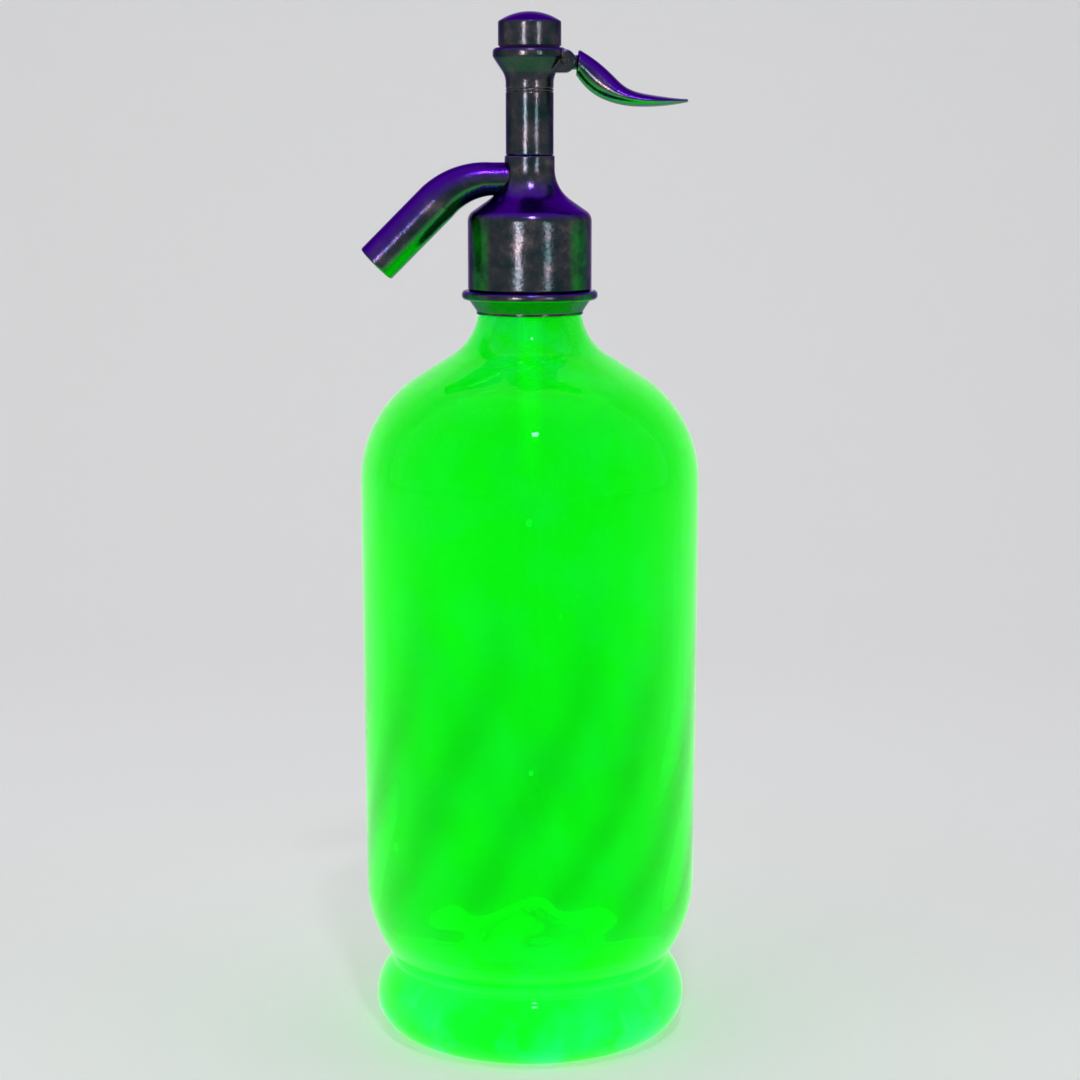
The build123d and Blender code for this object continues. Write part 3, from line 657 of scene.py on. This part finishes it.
def pewter_material(name, painted_underside_reflection, violet_from=VIOLET_FROM, green_from=GREEN_FROM):
    """Dull old pewter: dark, mottled and pitted, bright at rubbed edges, with painted light: painted violet
    light on faces that look up and a painted green reflection of the glass on those that look down.
    """
    n = new_material(name)
    place = n.place()
    mottle = n.noise(place, scale=140.0, detail=6.0, roughness=0.65)
    speck = n.noise(place, scale=900.0, detail=3.0, roughness=0.6)
    normal = n.add("ShaderNodeNewGeometry").outputs["Normal"]
    soft_normal = n.add("ShaderNodeBevel", samples=6, Radius=EDGE_ROUND).outputs["Normal"]
    facing = n.parts(normal)
    painted_violet_mask = n.level(facing["Z"], [(violet_from, 0.0), (violet_from + VIOLET_SPREAD, 1.0)])
    below = n.product(facing["Z"], -1.0)
    painted_green_mask = n.level(below, [(green_from, 0.0), (green_from + GREEN_SPREAD, 1.0)])
    pitted = n.math("MULTIPLY_ADD", speck, 0.16, 0.06)
    colour = n.ramp(mottle, PEWTER_TONES)
    # Painted reflection of the glass's green at the skirt's flanks.
    colour = n.mix(painted_flank_reflection(n, place, facing["X"], mottle), colour, FLANK_PAINTED_GREEN)
    # Painted violet light on faces that look up.
    colour = n.mix(n.product(painted_violet_mask, VIOLET_SHARE), colour, VIOLET)
    # Painted green reflection of the glowing glass on faces that look down.
    colour = n.mix(n.product(painted_green_mask, GREEN_SHARE), colour, painted_underside_reflection)
    worn = worn_edges(n, normal, soft_normal, mottle)
    colour = n.mix(n.product(worn, RUBBED_SHARE), colour, RUBBED)
    n.surface({
        "Base Color": colour,
        "Metallic": 1.0,
        "Specular Tint": PEWTER_GLOSS,
        "Roughness": n.math("MULTIPLY_ADD", mottle, 0.1, pitted),
    })
    relief = n.math("MULTIPLY_ADD", mottle, 1.2, speck)
    n.bump(relief, strength=0.2, distance=0.3 * MM, Normal=soft_normal)
    return n.owner


def used_material(name, colour, roughness, metallic):
    """One colour that is cloudy and a little rough in places, as on a part that has been in use."""
    n = new_material(name)
    cloud = n.noise(n.place(), scale=320.0, detail=4.0, roughness=0.6)
    dark = tuple(0.6 * part for part in colour)
    light = tuple(min(1.3 * part, 1.0) for part in colour)
    n.surface({
        "Base Color": n.ramp(cloud, [(0.35, dark), (0.65, light)]),
        "Metallic": metallic,
        "Roughness": n.math("MULTIPLY_ADD", cloud, 0.2, roughness - 0.1),
    })
    n.bump(cloud, strength=0.15, distance=0.2 * MM)
    return n.owner


def dress(node, material):
    """Gives a CAD node a material."""
    slots = frame["nodes"][node].data.materials
    slots.clear()
    slots.append(material)


LOOKS = {
    "green_glass": glass_material(),
    "clear_glass": tube_glass_material(),
    # the colour after the name is the painted green reflection of the glass on faces that look down
    "pewter": pewter_material("pewter", (0.045, 0.2, 0.065)),
}
# Copies with stronger painted light: a brighter painted green reflection on the collar, more painted violet
# light and green reflection on spout and lever.
pewter_painted_glass_reflection = pewter_material("pewter_painted_glass_reflection", (0.06, 0.85, 0.09))
pewter_more_painted_light = pewter_material("pewter_more_painted_light", (0.05, 0.6, 0.09), violet_from=0.0, green_from=0.2)
LOOKS["brass"] = used_material("brass", (0.5, 0.34, 0.14), roughness=0.35, metallic=1.0)
LOOKS["steel"] = used_material("steel", (0.06, 0.058, 0.063), roughness=0.35, metallic=1.0)
LOOKS["rubber"] = used_material("rubber", (0.02, 0.02, 0.02), roughness=0.8, metallic=0.0)
LOOKS["leather"] = used_material("leather", (0.03, 0.018, 0.014), roughness=0.7, metallic=0.0)

for entry in frame["record"]["subparts"]:
    dress(entry["node"], LOOKS[entry["material_slot"]])
for node in ("collar_half_front", "collar_half_rear"):
    dress(node, pewter_painted_glass_reflection)
for node in ("spout", "lever"):
    dress(node, pewter_more_painted_light)

bottle = make_bottle()
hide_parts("bottle")
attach(bottle, ROOT)

coil = make_spring()
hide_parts("spring")
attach(coil, ROOT)
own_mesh(coil)

bubbles = make_bubbles()
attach(bubbles, ROOT)

# ---- floor, backdrop and light: metres and watts ----
FLOOR_SIZE = 6.0
FLOOR_FRONT = 1.6
FLOOR_BACK = 0.5
SWEEP_RADIUS = 0.5
SWEEP_STEPS = 16
BACKDROP_HEIGHT = 3.0
FLOOR_TONE = (0.62, 0.62, 0.63)
FLOOR_LIFT = 0.26
WORLD_TONE = (0.64, 0.64, 0.65)
WORLD_LIGHT = 0.2
WHITE = (1.0, 1.0, 1.0)
STRIP_COLOUR = (1.0, 0.76, 0.8)
SPARK_COLOUR = (0.9, 0.86, 1.0)
BOTTLE_MIDDLE = (0, 0, 0.16)
SHOULDER_MIDDLE = (0, 0, 0.18)
SHOULDER_TOP = (0, 0, 0.2)
HEAD_MIDDLE = (0, 0, 0.27)


def seen_rays(n):
    """1 for the camera's own rays and for those that metal or glass sends on, 0 for those that only light."""
    path = n.add("ShaderNodeLightPath").outputs
    seen = n.math("MAXIMUM", path["Is Camera Ray"], path["Is Glossy Ray"])
    return n.math("MAXIMUM", seen, path["Is Transmission Ray"])


def floor_material():
    """Pale paper: plain to the lamps, and lifted towards white where it is seen, also in a mirror image."""
    n = new_material("floor")
    n.surface({
        "Base Color": FLOOR_TONE,
        "Roughness": 0.6,
        "Specular IOR Level": 0.1,
        "Emission Color": WHITE,
        "Emission Strength": n.product(seen_rays(n), FLOOR_LIFT),
    })
    return n.owner


def make_stage():
    """A pale floor that curves up into the backdrop."""
    profile = [(-FLOOR_FRONT, 0.0), (FLOOR_BACK, 0.0)]
    for step in range(1, SWEEP_STEPS + 1):
        angle = math.pi / 2 * step / SWEEP_STEPS
        back = FLOOR_BACK + SWEEP_RADIUS * math.sin(angle)
        profile.append((back, SWEEP_RADIUS * (1 - math.cos(angle))))
    profile.append((FLOOR_BACK + SWEEP_RADIUS, BACKDROP_HEIGHT))
    points = [(side * FLOOR_SIZE / 2, y, z) for y, z in profile for side in (-1, 1)]
    faces = [(2 * k, 2 * k + 1, 2 * k + 3, 2 * k + 2) for k in range(len(profile) - 1)]
    data = bpy.data.meshes.new("floor")
    data.from_pydata(points, [], faces)
    for face in data.polygons:
        face.use_smooth = True
    floor = bpy.data.objects.new("floor", data)
    bpy.context.scene.collection.objects.link(floor)
    data.materials.append(floor_material())


def make_world():
    """Dim light from all round, and a pale tone where the world itself is seen."""
    world = bpy.data.worlds.new("studio")
    bpy.context.scene.world = world
    n = Nodes(world)
    n.tree.nodes.clear()
    lit = n.add("ShaderNodeBackground", Color=WHITE, Strength=WORLD_LIGHT)
    seen = n.add("ShaderNodeBackground", Color=WORLD_TONE, Strength=1.0)
    mix = n.add("ShaderNodeMixShader")
    for socket, value in zip(mix.inputs, (seen_rays(n), lit.outputs[0], seen.outputs[0])):
        n.put(socket, value)
    n.add("ShaderNodeOutputWorld", Surface=mix.outputs[0])


def area_light(name, place, target, size, power, colour=WHITE):
    lamp = bpy.data.lights.new(name, "AREA")
    lamp.shape = "RECTANGLE"
    lamp.size, lamp.size_y = size
    lamp.energy = power
    lamp.color = colour
    holder = bpy.data.objects.new(name, lamp)
    bpy.context.scene.collection.objects.link(holder)
    holder.location = place
    holder.rotation_euler = (Vector(target) - Vector(place)).to_track_quat("-Z", "Y").to_euler()
    return holder


def soft_light(name, place, target, size, power):
    """A large lamp that lights everything and leaves no mirror image of itself."""
    area_light(name, place, target, size, power).visible_glossy = False


def strip_light(name, place, size, power):
    """A narrow upright lamp whose light and mirror image fall on the metal of the head alone."""
    lamp = area_light(name, place, HEAD_MIDDLE, size, power, STRIP_COLOUR)
    group = bpy.data.collections.new(name + "_lights")
    for entry in frame["record"]["subparts"]:
        if entry["material_slot"] == "pewter":
            group.objects.link(frame["nodes"][entry["node"]])
    lamp.light_linking.receiver_collection = group


def make_lamps():
    """Three soft lamps, two strips for the bright lines down the head, and a small one for the spark."""
    soft_light("key", (-1.2, -0.9, 0.8), BOTTLE_MIDDLE, (1.4, 1.6), 8.0)
    soft_light("fill", (1.4, -0.5, 0.6), BOTTLE_MIDDLE, (1.0, 1.6), 4.2)
    soft_light("top", (0.0, 0.25, 1.3), SHOULDER_TOP, (1.3, 0.9), 5.5)
    strip_light("strip_left", (-0.42, -1.1, 0.27), (0.12, 0.3), 4.6)
    strip_light("strip_right", (0.7, -1.05, 0.27), (0.08, 0.3), 2.5)
    area_light("spark", (0.045, -0.48, 0.82), SHOULDER_MIDDLE, (0.05, 0.05), 1.3, SPARK_COLOUR)


def make_camera():
    """The photograph's viewing angle."""
    data = bpy.data.cameras.new("camera")
    data.sensor_width = SENSOR
    data.lens = FOCAL_PIXELS / IMAGE_SIZE * SENSOR
    data.clip_start = CLIP_NEAR
    data.clip_end = CLIP_FAR
    camera = bpy.data.objects.new("camera", data)
    bpy.context.scene.collection.objects.link(camera)
    camera.location = (CAMERA_SIDE, -CAMERA_DISTANCE, CAMERA_HEIGHT)
    camera.rotation_euler = (math.pi / 2 - CAMERA_PITCH, 0, 0)
    bpy.context.scene.camera = camera


make_stage()
make_world()
make_lamps()
make_camera()
bpy.context.scene.view_settings.view_transform = "Standard"
